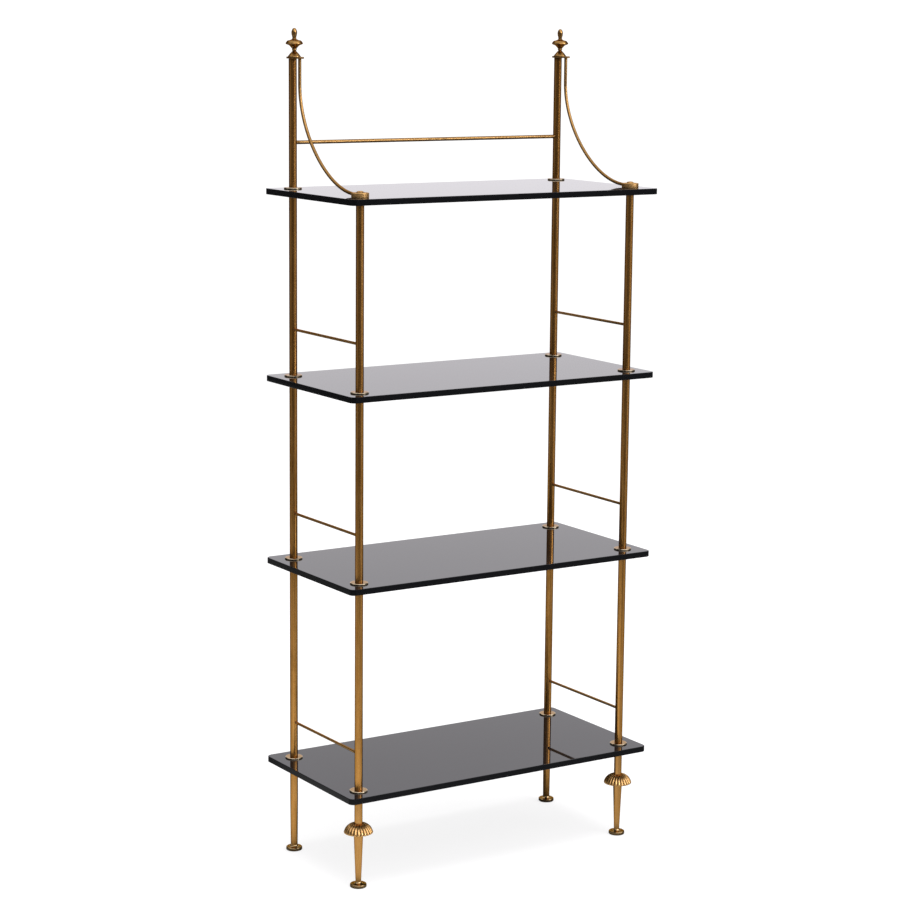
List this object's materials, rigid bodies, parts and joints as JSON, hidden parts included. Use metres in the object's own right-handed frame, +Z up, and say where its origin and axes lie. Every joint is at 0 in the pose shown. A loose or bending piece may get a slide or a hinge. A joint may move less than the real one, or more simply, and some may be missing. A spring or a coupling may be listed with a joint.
{
  "type": "etagere",
  "caption": "Tall free-standing brass etagere with black glass shelves, swept bracket rods, turned finials and fluted skirts on the front legs.",
  "frame": {"origin": "on the floor, at the middle of the footprint", "axes": "+Z up, +X to the right as seen from the front, front towards -Y, so the two tall posts are at +Y"},
  "size_m": [0.76, 0.37, 1.7795],
  "materials": {
    "brass": "aged, with brown patina, satin to polished",
    "black_glass": "polished black glass with ground, chamfered edges",
    "steel": "plain drawn rod, hidden inside the posts"
  },
  "bodies": {
    "root": {"shelf_1": "black_glass", "shelf_2": "black_glass", "shelf_3": "black_glass", "shelf_4": "black_glass", "foot_rear_left": "brass", "leg_rear_left": "brass", "collar_rear_left_1": "brass", "post_rear_left_bay_1": "brass", "collar_rear_left_2": "brass", "post_rear_left_bay_2": "brass", "collar_rear_left_3": "brass", "post_rear_left_bay_3": "brass", "collar_rear_left_4": "brass", "post_rear_left_top": "brass", "bracket_left": "brass", "finial_left": "brass", "tie_rod_rear_left": "steel", "foot_rear_right": "brass", "leg_rear_right": "brass", "collar_rear_right_1": "brass", "post_rear_right_bay_1": "brass", "collar_rear_right_2": "brass", "post_rear_right_bay_2": "brass", "collar_rear_right_3": "brass", "post_rear_right_bay_3": "brass", "collar_rear_right_4": "brass", "post_rear_right_top": "brass", "bracket_right": "brass", "finial_right": "brass", "tie_rod_rear_right": "steel", "foot_front_left": "brass", "leg_front_left": "brass", "collar_front_left_1": "brass", "post_front_left_bay_1": "brass", "collar_front_left_2": "brass", "post_front_left_bay_2": "brass", "collar_front_left_3": "brass", "post_front_left_bay_3": "brass", "skirt_left": "brass", "cap_left": "brass", "tie_rod_front_left": "steel", "foot_front_right": "brass", "leg_front_right": "brass", "collar_front_right_1": "brass", "post_front_right_bay_1": "brass", "collar_front_right_2": "brass", "post_front_right_bay_2": "brass", "collar_front_right_3": "brass", "post_front_right_bay_3": "brass", "skirt_right": "brass", "cap_right": "brass", "tie_rod_front_right": "steel", "rail_left_1": "brass", "rail_right_1": "brass", "rail_left_2": "brass", "rail_right_2": "brass", "rail_left_3": "brass", "rail_right_3": "brass", "crossbar": "brass"}
  },
  "joints": []
}
